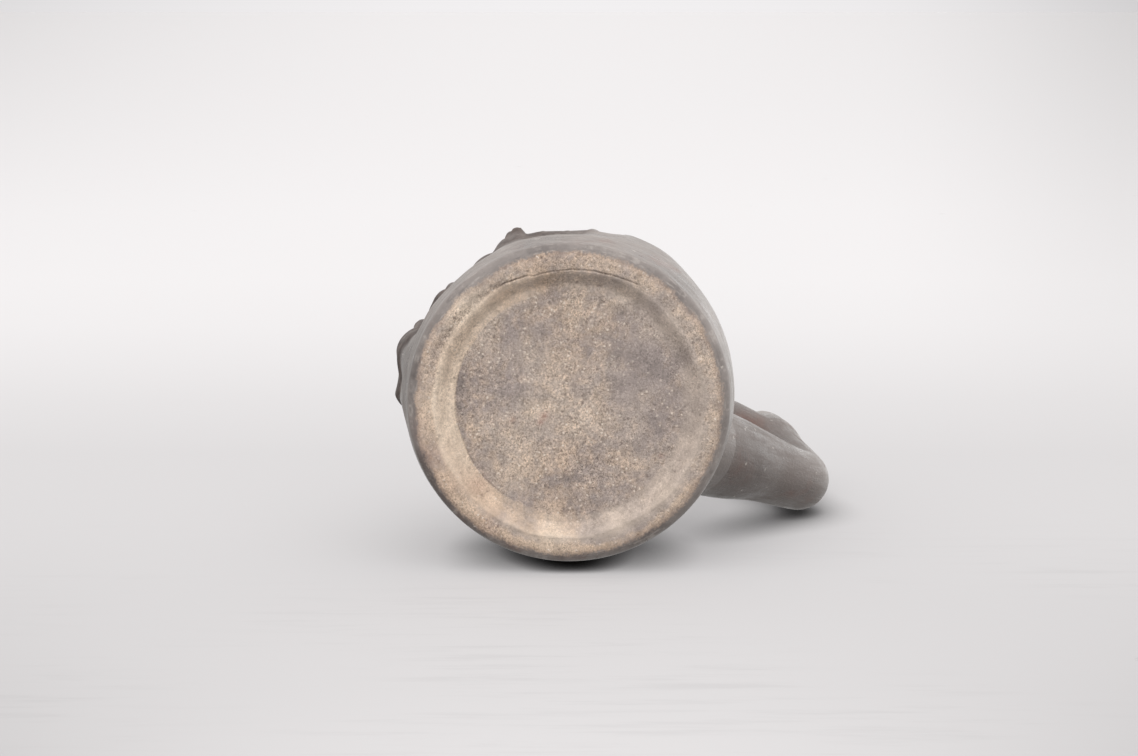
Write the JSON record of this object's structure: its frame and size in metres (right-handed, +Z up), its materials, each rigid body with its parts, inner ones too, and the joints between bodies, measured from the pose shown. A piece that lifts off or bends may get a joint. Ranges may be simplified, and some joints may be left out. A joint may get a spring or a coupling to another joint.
{
  "type": "stirrup spout bottle",
  "caption": "Dark burnished ceramic bottle with a squat round chamber, a hollow stirrup handle at its back, an upright spout and low crab relief on its front.",
  "frame": {"origin": "on the surface that the bottle stands on, under the middle of its whole outline seen from above; the chamber's axis stands 27.3 mm from it towards -Y", "axes": "+Z up along the chamber's axis, -Y towards the relief on the front, +Y towards the stirrup and spout"},
  "size_m": [0.1294, 0.1892, 0.188],
  "materials": {
    "burnished_clay": "burnished, satin",
    "worn_clay": "worn bare clay, matt and gritty",
    "matt_clay": "unburnished, matt"
  },
  "bodies": {
    "root": {"base_slab": "worn_clay", "foot_ring": "worn_clay", "chamber_front_half": "burnished_clay", "chamber_back_half": "burnished_clay", "stirrup_lower_arm": "burnished_clay", "stirrup_upper_arm": "burnished_clay", "spout": "burnished_clay", "carapace_rim": "burnished_clay", "claw_left": "burnished_clay", "claw_right": "burnished_clay", "claw_arm_left": "burnished_clay", "claw_arm_right": "burnished_clay", "eye_left": "burnished_clay", "eye_right": "burnished_clay", "leg_left_1": "matt_clay", "leg_left_2": "matt_clay", "leg_left_3": "matt_clay", "leg_left_4": "matt_clay", "leg_right_1": "matt_clay", "leg_right_2": "matt_clay", "leg_right_3": "matt_clay", "leg_right_4": "matt_clay"}
  },
  "joints": []
}
